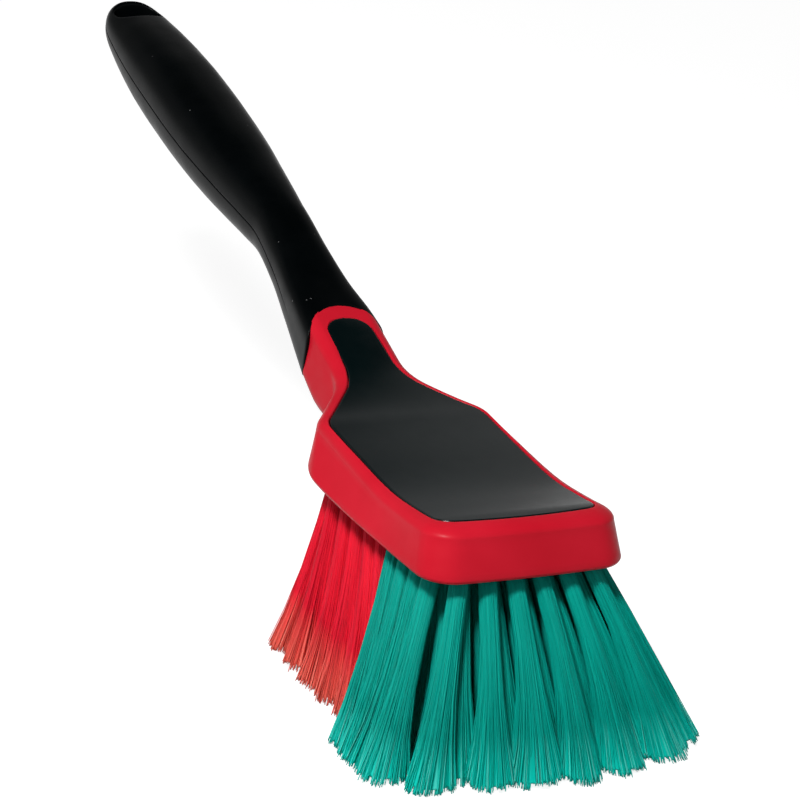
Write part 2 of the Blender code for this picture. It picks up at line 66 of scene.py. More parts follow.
def stand(thing, right, up, back, place):
    """Puts a camera or a lamp at a place, its own x, y and z pointing right, up and back."""
    turn = np.eye(4)
    turn[:3, 0], turn[:3, 1], turn[:3, 2], turn[:3, 3] = right, up, back, place
    thing.matrix_world = Matrix(turn.tolist())
    bpy.context.scene.collection.objects.link(thing)


back = np.array((
    math.sin(CAMERA_AZIMUTH) * math.cos(CAMERA_ELEVATION),
    -math.cos(CAMERA_AZIMUTH) * math.cos(CAMERA_ELEVATION),
    math.sin(CAMERA_ELEVATION),
))
level_right = np.array((math.cos(CAMERA_AZIMUTH), math.sin(CAMERA_AZIMUTH), 0.0))
level_up = np.cross(back, level_right)
right = level_right * math.cos(CAMERA_ROLL) + level_up * math.sin(CAMERA_ROLL)
up = level_up * math.cos(CAMERA_ROLL) - level_right * math.sin(CAMERA_ROLL)
camera = bpy.data.objects.new("camera", bpy.data.cameras.new("camera"))
camera.data.lens = CAMERA_LENS
stand(camera, right, up, back, (CAMERA_X, CAMERA_Y + BENCH_Y, CAMERA_Z))
bpy.context.scene.camera = camera

# Bumper: a soft rubber skin round the head, moulded over the hard core in a second shot.
# It leaves the panel on top bare, rolls over the edge as a rounded rim, falls down a drafted
# wall to a rounded foot, and runs back round the neck to the grip.
BRISTLE_DROP = 0.0522
HEAD_LENGTH = 0.1320
BLOCK_HEIGHT = 0.0133
TOP_RISE = 0.0190
UNDER_RISE = 0.0133
TOP_LINE_SHARES = (
    (0, 0.25), (0.14, 0.08), (0.27, 0), (0.45, 0.075), (0.62, 0.185), (0.765, 0.42),
    (0.886, 0.71), (1, 1), (1.04, 1.09),
)
UNDER_LINE_SHARES = (
    (-0.04, 0.11), (0.15, 0.04), (0.34, 0), (0.47, 0.02), (0.55, 0.08), (0.65, 0.21),
    (0.76, 0.26), (0.856, 0.32), (0.924, 0.58), (1, 1), (1.04, 1.18),
)
PANEL_CORNERS = (
    (0, 0.0048, 0), (0.0271, 0.0048, 0.0050), (0.0273, 0.0798, 0.0098),
    (0.0088, 0.1005, 0.0200),
)
PANEL_END_HALF, PANEL_END_Y, PANEL_END_RADIUS, END_BOW = 0.0078, 0.1270, 0.0066, 0.0008
PANEL_BOW, PANEL_WIDTH = 0.0033, 0.0542
RIM_CORNERS = (
    (0, -0.0016, 0), (0.0327, -0.0016, 0.0090), (0.0296, 0.0832, 0.0080),
    (0.0126, 0.1022, 0.0180),
)
RIM_BOW, RIM_WIDTH, RIM_DROP = 0.0024, 0.0654, 0.0032
FOOT_CORNERS = (
    (0, -0.0055, 0), (0.0343, -0.0055, 0.0100), (0.0353, 0.0815, 0.0190),
    (0.0145, 0.0915, 0.0090),
)
FOOT_END_HALF = 0.0137
FOOT_BOW, FOOT_WIDTH = 0.0014, 0.0686
BOW_REACH = 0.0272
FOOT_RADIUS, NECK_RADIUS = 0.0016, 0.0062
BUMPER_WALL = 0.0026
CORE_LIFT = 0.0008
CORE_FRONT_RADIUS, CORE_END_RADIUS, CORE_END_Y = 0.0082, 0.0084, 0.1180
POCKET_GAP, CUT_OVERRUN = 0.0001, 0.004
JOINT_TOP_Y, JOINT_ARCH = 0.1326, 0.0069
JOINT_BLOCK_HALF, JOINT_BLOCK_LOW, JOINT_BLOCK_HIGH, JOINT_BLOCK_END_Y = 0.0191, 0.03, 0.12, 0.2
NECK_END_Y = 0.1400
SIDE_STEPS, ARC_STEPS, EDGE_STEPS, ROLL_STEPS, WALL_STEPS, JOINT_STEPS = 14, 10, 4, 10, 6, 60
PANEL_GAP = 0.00012
GROOVE_DEPTH, GROOVE_RADIUS = 0.0011, 0.0007
GROOVE_FADE_Y, GROOVE_FADE_LENGTH = 0.1010, 0.0140
ROLL_REACH = 0.0045
SAME_PLACE = 1e-6
BUMPER_SHARP = 30
CLOUD_DETAIL, SHEEN_DETAIL = 2.0, 3.0


def smooth_line(points, at):
    """Monotone cubic through (place, value) points, as whole arrays: each slope is the
    weighted harmonic mean of its two neighbours, so nothing overshoots."""
    x, y = np.array(points, float).T
    step, slope = np.diff(x), np.diff(y) / np.diff(x)
    middle = np.zeros(len(x))
    weight_a, weight_b = 2 * step[1:] + step[:-1], step[1:] + 2 * step[:-1]
    same_way = slope[:-1] * slope[1:] > 0
    safe_a = np.where(same_way, slope[:-1], 1.0)
    safe_b = np.where(same_way, slope[1:], 1.0)
    mean = (weight_a + weight_b) / (weight_a / safe_a + weight_b / safe_b)
    middle[1:-1] = np.where(same_way, mean, 0.0)
    middle[0], middle[-1] = slope[0], slope[-1]
    at = np.clip(np.asarray(at, float), x[0], x[-1])
    i = np.clip(np.searchsorted(x, at) - 1, 0, len(x) - 2)
    t = (at - x[i]) / step[i]
    near = (1 + 2 * t) * (1 - t) ** 2 * y[i] + t * (1 - t) ** 2 * step[i] * middle[i]
    far = t * t * (3 - 2 * t) * y[i + 1] + t * t * (t - 1) * step[i] * middle[i + 1]
    return near + far


def eased(value, start, length):
    """Smooth S from 0 to 1 as a value runs from start over a length: 3 t squared - 2 t cubed."""
    t = np.clip((value - start) / length, 0, 1)
    return t * t * (3 - 2 * t)


def quarter_turn(steps):
    """Angles from nought to a quarter turn, in equal steps."""
    return np.linspace(0, math.pi / 2, steps + 1)


def top_line(y):
    """Height of the head's top at y: a smooth line through shares of the head's length and rise."""
    rise = TOP_RISE * smooth_line(TOP_LINE_SHARES, y / HEAD_LENGTH)
    return BRISTLE_DROP + BLOCK_HEIGHT + rise


def under_line(y):
    """Height of the head's underside at y, by the same rule as its top."""
    return BRISTLE_DROP + UNDER_RISE * smooth_line(UNDER_LINE_SHARES, y / HEAD_LENGTH)


def half_outline(corners, bow, width):
    """Right half of an outline from the front middle to the back: straight stretches between
    corners (x, y, radius), each corner an arc turned evenly round its centre. The front
    edge is then bowed: y grows by bow times (x / half width) squared, fading backwards."""
    corners = [np.array(c, float) for c in corners]
    pieces, first = [corners[0][None, :2]], corners[0][:2]
    share = np.linspace(0, 1, SIDE_STEPS + 1)[1:, None]
    for before, corner, after in zip(corners, corners[1:], corners[2:]):
        at, radius = corner[:2], corner[2]
        behind, ahead = before[:2] - at, after[:2] - at
        behind, ahead = behind / np.linalg.norm(behind), ahead / np.linalg.norm(ahead)
        half = math.acos(np.clip(behind @ ahead, -1, 1)) / 2
        start, end = at + behind * radius / math.tan(half), at + ahead * radius / math.tan(half)
        inward = (behind + ahead) / np.linalg.norm(behind + ahead)
        centre = at + inward * radius / math.sin(half)
        whole = math.pi - 2 * half
        angle = whole * np.linspace(0, 1, ARC_STEPS + 1)[1:, None]
        arc = (start - centre) * np.sin(whole - angle) + (end - centre) * np.sin(angle)
        pieces += [first + (start - first) * share, centre + arc / math.sin(whole)]
        first = end
    pieces.append(first + (corners[-1][:2] - first) * share)
    x, y = np.concatenate(pieces).T
    fade = np.clip(1 - y / BOW_REACH, 0, 1)
    return np.stack([x, y + bow * fade * (x / (width / 2)) ** 2], 1)


def outward(points):
    """Unit normals of half an outline, pointing out of the head: its direction turned by a
    quarter, and straight ahead at the front middle."""
    along = np.gradient(points, axis=0)
    along /= np.linalg.norm(along, axis=1)[:, None]
    normal = np.stack([along[:, 1], -along[:, 0]], 1)
    normal[0] = 0, -1
    return normal


def grid_faces(rows, columns, wrap=False):
    """Quads of a grid of points stored row after row, closed round each row if it wraps."""
    across = columns if wrap else columns - 1
    k, j = np.meshgrid(np.arange(rows - 1), np.arange(across), indexing="ij")
    a = k * columns + j
    b = k * columns + (j + 1) % columns
    return np.stack([a, b, b + columns, a + columns], -1).reshape(-1, 4)


def solid(name, vertices, faces, material=None):
    """Object of one closed body. Places along the brush become places in the frame, doubles
    are merged, and normals turned outward."""
    placed = np.reshape(vertices, (-1, 3)) + (0, BENCH_Y, 0)
    mesh = bpy.data.meshes.new(name)
    mesh.from_pydata(placed.tolist(), [], faces)
    body = bmesh.new()
    body.from_mesh(mesh)
    bmesh.ops.remove_doubles(body, verts=body.verts, dist=SAME_PLACE)
    bmesh.ops.recalc_face_normals(body, faces=body.faces)
    body.to_mesh(mesh)
    body.free()
    if material:
        mesh.materials.append(material)
    piece = bpy.data.objects.new(name, mesh)
    bpy.context.scene.collection.objects.link(piece)
    return piece


def stack(name, levels, material=None):
    """Closed body between levels of half outlines (x, y, z), each mirrored in x = 0. Strips
    close its top and foot from side to side, and its back end where that is open."""
    half = np.array(levels)
    mirrored = half[:, :0:-1] * (-1, 1, 1)
    whole = np.concatenate([mirrored, half], 1)
    rows, columns = whole.shape[:2]
    faces = grid_faces(rows, columns).tolist()
    j = np.arange(columns // 2)
    for row in (0, rows - 1):
        start = row * columns
        faces += (start + np.stack([j, j + 1, columns - 2 - j, columns - 1 - j], 1)).tolist()
    k = np.arange(rows - 1) * columns
    faces += np.stack([k, k + columns, k + 2 * columns - 1, k + columns - 1], 1).tolist()
    faces = [list(dict.fromkeys(f)) for f in faces]
    return solid(name, whole, faces, material)


def tube(name, rings, material=None):
    """Closed body through rings of points, with one face at each end."""
    rows, columns = rings.shape[:2]
    faces = grid_faces(rows, columns, wrap=True).tolist()
    faces += [list(range(columns)), list(range((rows - 1) * columns, rows * columns))]
    return solid(name, rings, faces, material)


def carve(target, tool):
    """Cuts one closed body out of another, and removes it."""
    cut = target.modifiers.new("cut", "BOOLEAN")
    cut.operation, cut.solver, cut.object = "DIFFERENCE", "EXACT", tool
    graph = bpy.context.evaluated_depsgraph_get()
    made = bpy.data.meshes.new_from_object(target.evaluated_get(graph))
    target.modifiers.clear()
    old, target.data = target.data, made
    bpy.data.meshes.remove(old)
    bpy.data.objects.remove(tool, do_unlink=True)


def shade(piece, sharp):
    """Smooth shading, crisp only at edges that turn by more than the sharp angle, in degrees."""
    piece.data.shade_smooth()
    piece.data.set_sharp_from_angle(angle=math.radians(sharp))


def panel_outline(grow=0.0, end_y=None):
    """The panel's half outline, let out by grow. It closes in the rounded end of its tongue,
    or runs on to end_y and stays open."""
    front = PANEL_CORNERS[0][1]
    corners = [
        (x + (grow if x else 0), y - (grow if y == front else 0), r) for x, y, r in PANEL_CORNERS
    ]
    half = PANEL_END_HALF + grow
    if end_y is None:
        end_y = PANEL_END_Y + grow
        corners += [(half, end_y - END_BOW, PANEL_END_RADIUS), (0, end_y, 0)]
    else:
        corners += [(half, end_y, 0)]
    return half_outline(corners, PANEL_BOW, PANEL_WIDTH)


def foot_levels():
    """Half outlines of the bumper's foot, rolled under by a quarter circle whose radius grows
    along the neck."""
    foot = half_outline(FOOT_CORNERS + ((FOOT_END_HALF, NECK_END_Y, 0),), FOOT_BOW, FOOT_WIDTH)
    neck_start = FOOT_CORNERS[3][1]
    along = np.clip((foot[:, 1] - neck_start) / (HEAD_LENGTH - neck_start), 0, 1)
    radius = FOOT_RADIUS + (NECK_RADIUS - FOOT_RADIUS) * along * (2 - along)
    low, normal = under_line(foot[:, 1]), outward(foot)
    levels = []
    for angle in quarter_turn(ROLL_STEPS):
        edge = foot - normal * (radius * (1 - math.cos(angle)))[:, None]
        edge[0, 0], edge[:, 1] = 0, np.minimum(edge[:, 1], NECK_END_Y)
        edge[-1, 1] = NECK_END_Y
        levels.append(np.column_stack([edge, low + radius * (1 - math.sin(angle))]))
    return levels


def bumper_levels():
    """Half outlines from the panel's edge down: a small groove that rises to its lip by a quarter
    ellipse and fades out at the neck, another quarter ellipse from the lip over to the rim's
    outline, a straight drafted wall, and the foot."""
    panel = panel_outline(end_y=NECK_END_Y)
    rim = half_outline(RIM_CORNERS + ((RIM_CORNERS[3][0], NECK_END_Y, 0),), RIM_BOW, RIM_WIDTH)
    top = top_line(panel[:, 1])
    aside = outward(panel)
    deep = GROOVE_DEPTH * (1 - eased(panel[:, 1], GROOVE_FADE_Y, GROOVE_FADE_LENGTH))
    levels = []
    for angle in quarter_turn(EDGE_STEPS):
        edge = panel + aside * (PANEL_GAP + GROOVE_RADIUS * (1 - math.cos(angle)))
        edge[0, 0], edge[-1, 1] = 0, NECK_END_Y
        levels.append(np.column_stack([edge, top - deep * (1 - math.sin(angle))]))
    lip = levels[-1][:, :2]
    first = math.asin((PANEL_GAP + GROOVE_RADIUS) / ROLL_REACH)
    for angle in np.linspace(first, math.pi / 2, ROLL_STEPS + 1)[1:]:
        edge = lip + (rim - lip) * (math.sin(angle) - math.sin(first)) / (1 - math.sin(first))
        levels.append(np.column_stack([edge, top - RIM_DROP * (1 - math.cos(angle))]))
    foot = foot_levels()
    drop = foot[0] - levels[-1]
    wall = [levels[-1] + drop * k / WALL_STEPS for k in range(1, WALL_STEPS)]
    return levels + wall + foot


def core_outline(grow):
    """Half outline of the core's foot, a wall's width inside the bumper's, let out by grow."""
    inset = BUMPER_WALL - grow
    x = [c[0] - (inset if c[0] else 0) for c in FOOT_CORNERS]
    end_y = CORE_END_Y + grow
    corners = [
        (0, FOOT_CORNERS[0][1] + inset, 0),
        (x[1], FOOT_CORNERS[1][1] + inset, CORE_FRONT_RADIUS),
        (x[2], FOOT_CORNERS[2][1] - inset, FOOT_CORNERS[2][2] - inset / 2),
        (x[3], FOOT_CORNERS[3][1] - inset, FOOT_CORNERS[3][2]),
        (FOOT_END_HALF - inset, end_y - END_BOW, CORE_END_RADIUS), (0, end_y, 0),
    ]
    return half_outline(corners, FOOT_BOW, FOOT_WIDTH)


def core_levels(grow, edge_radius):
    """The core's block, let out by grow: the bare panel with its edge rounded by a quarter
    circle, and a foot that lifts clear of the bumper's floor under the neck. Also says which
    of the foot's points are there."""
    panel, foot = panel_outline(grow), core_outline(grow)
    aside = outward(panel)
    aside[-1] = 0, 1
    levels = []
    for angle in quarter_turn(EDGE_STEPS):
        edge = panel - aside * edge_radius * (1 - math.sin(angle))
        edge[0, 0] = edge[-1, 0] = 0
        drop = edge_radius * (1 - math.cos(angle))
        levels.append(np.column_stack([edge, top_line(edge[:, 1]) - drop]))
    along = core_outline(0)[:, 1]
    neck = eased(along, FOOT_CORNERS[2][1], FOOT_CORNERS[3][1] - FOOT_CORNERS[2][1])
    lift = CORE_LIFT + (BUMPER_WALL - CORE_LIFT) * neck
    low = under_line(along) + lift - np.where(neck > 0, grow, 0)
    levels.append(np.column_stack([foot, low]))
    return levels, neck > 0


def joint_y(x):
    """Where the joint between neck and grip lies: an upright arch, whose middle reaches
    towards the handle and whose sides fall forward with the square of x."""
    return JOINT_TOP_Y - JOINT_ARCH * (x / RIM_CORNERS[3][0]) ** 2


def joint_block():
    """Closed block behind the joint, to cut the neck off along it: its near face follows the
    joint's arch from below the head to above it, and its far face is flat."""
    x = np.linspace(-JOINT_BLOCK_HALF, JOINT_BLOCK_HALF, JOINT_STEPS + 1)
    z = np.linspace(JOINT_BLOCK_LOW, JOINT_BLOCK_HIGH, 3)
    xs, zs = np.meshgrid(x, z, indexing="ij")
    near = np.stack([xs, joint_y(xs), zs], -1)
    far = np.stack([xs, np.full_like(xs, JOINT_BLOCK_END_Y), zs], -1)
    return tube("joint_block", np.concatenate([near, far[:, ::-2]], 1))


def nodes_for(name, roughness, specular):
    """New node material, its shader's roughness and shine set as plain values."""
    material = bpy.data.materials.new(name)
    material.use_nodes = True
    tree = material.node_tree
    shader = tree.nodes["Principled BSDF"]
    shader.inputs["Roughness"].default_value = roughness
    shader.inputs["Specular IOR Level"].default_value = specular
    return material, tree, shader


def add(tree, kind, **settings):
    """Adds a node, with its settings by name."""
    node = tree.nodes.new("ShaderNode" + kind)
    for name, value in settings.items():
        setattr(node, name, value)
    return node


def place_on(tree):
    """Place on the piece, in metres."""
    return add(tree, "TexCoord").outputs["Object"]


def noise(tree, cycles, detail):
    """Cloudy noise of so many cycles a metre, with finer noises on it as detail says."""
    node = add(tree, "TexNoise")
    node.inputs["Scale"].default_value = cycles
    node.inputs["Detail"].default_value = detail
    tree.links.new(place_on(tree), node.inputs["Vector"])
    return node.outputs["Fac"]


def ranged(tree, value, low, high, from_low=0.3, from_high=0.7, interpolation="LINEAR"):
    """Spreads a value's range from_low to from_high over low to high. Where it isn't given, the
    range is the one that most of a noise lies in."""
    node = add(tree, "MapRange", interpolation_type=interpolation)
    node.inputs["From Min"].default_value = from_low
    node.inputs["From Max"].default_value = from_high
    node.inputs["To Min"].default_value = low
    node.inputs["To Max"].default_value = high
    tree.links.new(value, node.inputs["Value"])
    return node.outputs["Result"]


def combined(tree, operation, a, b):
    """Two sockets' values joined by one operation of the Math node."""
    node = add(tree, "Math", operation=operation)
    tree.links.new(a, node.inputs[0])
    tree.links.new(b, node.inputs[1])
    return node.outputs[0]


def mixed(tree, share, colour_a, colour_b):
    """Colour between two colours, or between a socket's colour and one colour. The mix node
    keeps its two colours on sockets 6 and 7, and gives the mixed one on socket 2."""
    node = add(tree, "Mix", data_type="RGBA")
    for socket, colour in zip(node.inputs[6:8], (colour_a, colour_b)):
        if isinstance(colour, tuple):
            socket.default_value = (*colour, 1.0)
        else:
            tree.links.new(colour, socket)
    tree.links.new(share, node.inputs["Factor"])
    return node.outputs[2]


def moulded(name, tones, roughness, specular, cloud_cycles, sheen_cycles, sheen_roughness,
            grain_cycles, grain_detail, grain_height, grain_strength):
    """Finish of a moulding: its colour drifts between two tones and its roughness between two
    values, each with a noise, and a fine noise raises its grain by the grain's height."""
    material, tree, shader = nodes_for(name, roughness, specular)
    colour = mixed(tree, ranged(tree, noise(tree, cloud_cycles, CLOUD_DETAIL), 0, 1), *tones)
    tree.links.new(colour, shader.inputs["Base Color"])
    sheen = ranged(tree, noise(tree, sheen_cycles, SHEEN_DETAIL), *sheen_roughness)
    tree.links.new(sheen, shader.inputs["Roughness"])
    grain = add(tree, "Bump")
    grain.inputs["Strength"].default_value = grain_strength
    grain.inputs["Distance"].default_value = grain_height
    tree.links.new(noise(tree, grain_cycles, grain_detail), grain.inputs["Height"])
    tree.links.new(grain.outputs["Normal"], shader.inputs["Normal"])
    return material


rubber_red = moulded(
    "bumper_rubber", tones=((0.60, 0.008, 0.022), (0.68, 0.012, 0.030)), roughness=0.38,
    specular=0.10, cloud_cycles=45.0, sheen_cycles=320.0, sheen_roughness=(0.34, 0.44),
    grain_cycles=2600.0, grain_detail=2.0, grain_height=0.00002, grain_strength=0.5,
)
bumper = stack("head_bumper", bumper_levels(), rubber_red)
pocket, in_neck = core_levels(POCKET_GAP, 0)
above, below = pocket[0] + (0, 0, CUT_OVERRUN), pocket[-1].copy()
below[~in_neck, 2] -= CUT_OVERRUN
carve(bumper, stack("pocket", [above, pocket[0], pocket[-1], below]))
carve(bumper, joint_block())
shade(bumper, BUMPER_SHARP)
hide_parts("bumper")
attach(bumper, "root")

# Core: the hard plastic block that holds the bristles, moulded first. Its bare top shows as
# a satin black panel that dips behind the front edge, narrows at the shoulders and runs up
# the neck, where it ends in a rounded tongue.
PANEL_EDGE_RADIUS = 0.0006
CORE_SHARP = 40

plastic_black = moulded(
    "panel_plastic", tones=((0.0010, 0.0045, 0.0050), (0.0016, 0.0060, 0.0065)), roughness=0.30,
    specular=0.62, cloud_cycles=30.0, sheen_cycles=240.0, sheen_roughness=(0.20, 0.26),
    grain_cycles=2200.0, grain_detail=2.0, grain_height=0.00001, grain_strength=0.4,
)
core = stack("head_core", core_levels(0, PANEL_EDGE_RADIUS)[0], plastic_black)
shade(core, CORE_SHARP)
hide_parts("core")
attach(core, "root")

# Grip: soft black rubber moulded over the core's tang. It starts boxy and proud of the neck,
# thins to a waist, swells to fill the palm and ends in a rounded butt with a hanging hole.
# The two halves of its mould leave a fine line along each side.
HANDLE_START_Y = 0.1160
GRIP_WIDTH, GRIP_HEIGHT = 0.0301, 0.0271
HANDLE_BASE, HANDLE_RISE = 0.0150, 0.0590
HANDLE_SHARES = (
    (0.0, 0.0, 0.979, 0.82), (0.075, 0.125, 0.903, 0.726), (0.15, 0.231, 0.785, 0.668),
    (0.225, 0.351, 0.692, 0.683), (0.3, 0.456, 0.662, 0.739), (0.355, 0.499, 0.726, 0.807),
    (0.425, 0.547, 0.827, 0.879), (0.495, 0.597, 0.918, 0.949), (0.57, 0.65, 0.978, 0.98),
    (0.645, 0.706, 1.0, 0.997), (0.715, 0.758, 0.989, 1.0), (0.79, 0.812, 0.963, 0.945),
    (0.86, 0.867, 0.906, 0.835), (0.91, 0.909, 0.844, 0.716), (0.948, 0.944, 0.773, 0.613),
    (0.975, 0.975, 0.638, 0.507), (0.992, 0.996, 0.391, 0.345), (1.0, 0.993, 0.129, 0.162),
)
FRONT_POWER, BACK_POWER, BOXY_REACH = 0.44, 0.86, 0.34
SEAM_ANGLES, FIRST_SIDE_ANGLE = (0, 0.0007, 0.002, 0.006, 0.012, 0.020, 0.035), 0.06
QUARTER_SIDES, GRIP_RINGS, RING_CROWDING, JOINT_ROUNDS = 30, 260, 1.25, 12
LIP_RADIUS, INNER_INSET = 0.0004, 0.006
SEAM_DEPTH, SEAM_WIDTH = 0.00025, 0.00028
SEAM_START, SEAM_START_FADE, SEAM_END_FADE = 0.12, 0.1, 0.02
HOLE_WIDTH, HOLE_LENGTH, HOLE_Y, HOLE_POWER = 0.0170, 0.0122, 0.3048, 0.80
HOLE_FLARE, HOLE_OVERRUN, LEAST_LIFT = 0.0012, 0.003, 0.02
HOLE_SIDES, FLARE_STEPS = 72, 6
GRIP_SHARP = 40
DUST_GREY = (0.20, 0.20, 0.20)
DUST_CYCLES, DUST_EDGE, DUST_REACH = 260.0, 0.035, 0.06
DUSTY_CYCLES, DUSTY_DETAIL, DUSTY_FROM, DUSTY_TO = 90.0, 1.0, 0.60, 0.64


def handle_middle(y):
    """Along share, middle height, half width and half height of the handle at y, the last
    three on smooth lines through the shares' columns."""
    along = (y - HANDLE_START_Y) / (BODY_LENGTH - HANDLE_START_Y)
    shares = np.array(HANDLE_SHARES)
    rise, width, height = (smooth_line(shares[:, [0, k]], along) for k in (1, 2, 3))
    middle = BRISTLE_DROP + HANDLE_BASE + HANDLE_RISE * rise
    return along, middle, GRIP_WIDTH / 2 * width, GRIP_HEIGHT / 2 * height


def handle_point(y, angle, inset=0.0):
    """Point of the handle's skin at y and an angle round it: x and z go as the cosine and sine,
    each raised to a power that runs from boxy at the neck to a plain oval."""
    along, middle, half_width, half_height = handle_middle(y)
    power = FRONT_POWER + (BACK_POWER - FRONT_POWER) * eased(along, 0, BOXY_REACH)
    c, s = np.cos(angle), np.sin(angle)
    x = (half_width - inset) * np.sign(c) * np.abs(c) ** power
    z = (half_height - inset) * np.sign(s) * np.abs(s) ** power
    return x, middle + z


def grip_surface():
    """Rings from the joint to the butt, in front of them the lip that rolls in at the joint. A
    ring's point lies at a share of the way from the arched joint to the butt's end, so that
    the first ring follows the joint. The mould line is a groove of triangular section."""
    sides = np.linspace(FIRST_SIDE_ANGLE, math.pi / 2, QUARTER_SIDES)
    quarter = np.concatenate([SEAM_ANGLES, sides])
    half = np.concatenate([quarter, math.pi - quarter[-2::-1]])
    angle = np.concatenate([half, math.pi + half[1:-1]])
    start = np.full(len(angle), JOINT_TOP_Y)
    for _ in range(JOINT_ROUNDS):
        start = joint_y(handle_point(start, angle)[0])
    share = 1 - (1 - np.linspace(0, 1, GRIP_RINGS)) ** RING_CROWDING
    y = start[None] + (BODY_LENGTH - start[None]) * share[:, None]
    turn = np.broadcast_to(angle, y.shape)
    x, z = handle_point(y, turn)
    along, middle = handle_middle(y)[:2]
    seam = np.clip(1 - np.abs(z - middle) / SEAM_WIDTH, 0, 1) * SEAM_DEPTH
    seam_in = np.clip((along - SEAM_START) / SEAM_START_FADE, 0, 1)
    seam_out = np.clip((1 - along) / SEAM_END_FADE, 0, 1)
    x -= np.sign(np.cos(turn)) * seam * (seam_in * seam_out)
    inner_x, inner_z = handle_point(start, angle, INNER_INSET)
    lip = [np.stack([inner_x, start - LIP_RADIUS, inner_z], 1)]
    for depth in quarter_turn(EDGE_STEPS)[:-1]:
        lip_x, lip_z = handle_point(start, angle, LIP_RADIUS * (1 - math.sin(depth)))
        forward = LIP_RADIUS * (1 - math.cos(depth))
        lip.append(np.stack([lip_x, start + forward - LIP_RADIUS, lip_z], 1))
    return np.concatenate([lip, np.stack([x, y, z], -1)])


def hole_ring(depth, side):
    """Outline of the hanging hole, a rounded slot, at a depth below the grip's top (side 1) or
    above its underside (side -1). It grows by a quarter circle towards them."""
    angle = np.linspace(0, 2 * math.pi, HOLE_SIDES, endpoint=False)
    c, s = np.cos(angle), np.sin(angle)
    level = min(HOLE_FLARE, HOLE_FLARE - depth)
    grow = HOLE_FLARE - np.sqrt(HOLE_FLARE ** 2 - level ** 2)
    x = np.sign(c) * np.abs(c) ** HOLE_POWER * (HOLE_WIDTH / 2 + grow)
    y = HOLE_Y + np.sign(s) * np.abs(s) ** HOLE_POWER * (HOLE_LENGTH / 2 + grow)
    _, middle, half_width, half_height = handle_middle(y)
    across = np.abs(x / half_width) ** (2 / BACK_POWER)
    lift = np.clip(1 - across, LEAST_LIFT, 1) ** (BACK_POWER / 2)
    return np.stack([x, y, middle + side * (half_height * lift - depth)], 1)


def hole_cutter():
    """Closed body of the hanging hole, from above the grip's top to below its underside."""
    depths = np.append(-HOLE_OVERRUN, HOLE_FLARE * (1 - np.cos(quarter_turn(FLARE_STEPS))))
    upper = [hole_ring(depth, 1) for depth in depths]
    lower = [hole_ring(depth, -1) for depth in depths[::-1]]
    return tube("hole", np.array(upper + lower))


def dusted(material):
    """Sparse pale specks on a finish: the middles of cells, shown only where a slow noise is
    high."""
    tree = material.node_tree
    base = tree.nodes["Principled BSDF"].inputs["Base Color"]
    cells = add(tree, "TexVoronoi", feature="F1")
    cells.inputs["Scale"].default_value = DUST_CYCLES
    tree.links.new(place_on(tree), cells.inputs["Vector"])
    specks = ranged(tree, cells.outputs["Distance"], 1, 0, DUST_EDGE, DUST_REACH)
    dusty = ranged(tree, noise(tree, DUSTY_CYCLES, DUSTY_DETAIL), 0, 1, DUSTY_FROM, DUSTY_TO)
    dust = combined(tree, "MULTIPLY", specks, dusty)
    tree.links.new(mixed(tree, dust, base.links[0].from_socket, DUST_GREY), base)
    return material


rubber_black = moulded(
    "grip_rubber", tones=((0.0003, 0.0009, 0.0011), (0.0006, 0.0013, 0.0016)), roughness=0.34,
    specular=0.10, cloud_cycles=60.0, sheen_cycles=150.0, sheen_roughness=(0.31, 0.39),
    grain_cycles=2400.0, grain_detail=3.0, grain_height=0.00002, grain_strength=0.5,
)
grip = tube("handle_grip", grip_surface(), dusted(rubber_black))
carve(grip, hole_cutter())
shade(grip, GRIP_SHARP)
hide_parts("grip")
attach(grip, "root")

# Bristles: polyester filaments folded in two and stapled into drilled holes as round tufts,
# in eleven rows. The five front rows are teal and fan far forward and sideways; the six
# behind are red, fan less, and have split, paler tips. All end near one cut plane.
TEAL_ROWS, RED_ROWS, TUFTS_PER_ROW = 5, 6, 7
ROW_PITCH, TUFT_PITCH, FIRST_ROW_Y = 0.00738, 0.00823, 0.0048
TUFT_RADIUS, ROOT_DEPTH = 0.00262, 0.0025
FILAMENTS, FILAMENT_RADIUS, FILAMENT_SIDES = 480, 0.00016, 3
FILAMENT_STEPS = (0.0, 0.10, 0.35, 0.60, 0.82, 0.985, 1.0)
INNER_SHARE, INNER_RADIUS, RIM_DEPTH, TUFT_TURN = 0.45, 0.95, 0.07, 2.1
BODY_SIDES, BODY_FILL = 56, 0.965
BODY_STEPS = (0.0, 0.06, 0.14, 0.28, 0.42, 0.56, 0.70, 0.83, 0.955, 0.965)
TIP_FRONT_Y, TEAL_TIP_PITCH, RED_TIP_PITCH = -0.0286, 0.0062, 0.0112
TIP_BOW, TIP_BOW_MIDDLE, TIP_BOW_HALF = 0.0100, 0.0070, 0.0600
TEAL_SPREAD, TEAL_SPREAD_GAIN, RED_REACH = 1.66, 13.0, 0.0380
TEAL_LEANS, ROOT_LEAN_REACH = (0.0016, 0.0016), 0.12
END_SHIFT, END_SHIFT_POWER = 0.0012, 8
TEAL_TIP_HALF, RED_TIP_HALF = (0.0083, 0.0063), (0.0078, 0.0060)
TIP_SCATTER, LEAST_HALF, MOST_HALF = 0.0004, 0.90, 1.10
LEAST_POWER, MOST_POWER, RED_POWER_GAIN = 2.2, 3.1, 0.2
TEAL_DROOP, TEAL_DROOP_FALL, RED_DROOP = 0.42, 0.18, -0.05
CLUMPS, TEAL_CLUMPING, RED_CLUMPING, CLUMP_POWER = 46, 0.42, 0.20, 5
STRAYS, STRAY_SPREAD, LOOSE_SPREAD, LOOSE_POWER = 0.03, 0.0010, 0.0005, 3
RAGGED, CLUMP_RAGGED_SHARE, OWN_RAGGED_SHARE = 0.0034, 0.6, 0.4
SIDE_ROOM, FRONT_OVERHANG = 0.0008, 0.003
FIRST_SEED = 400
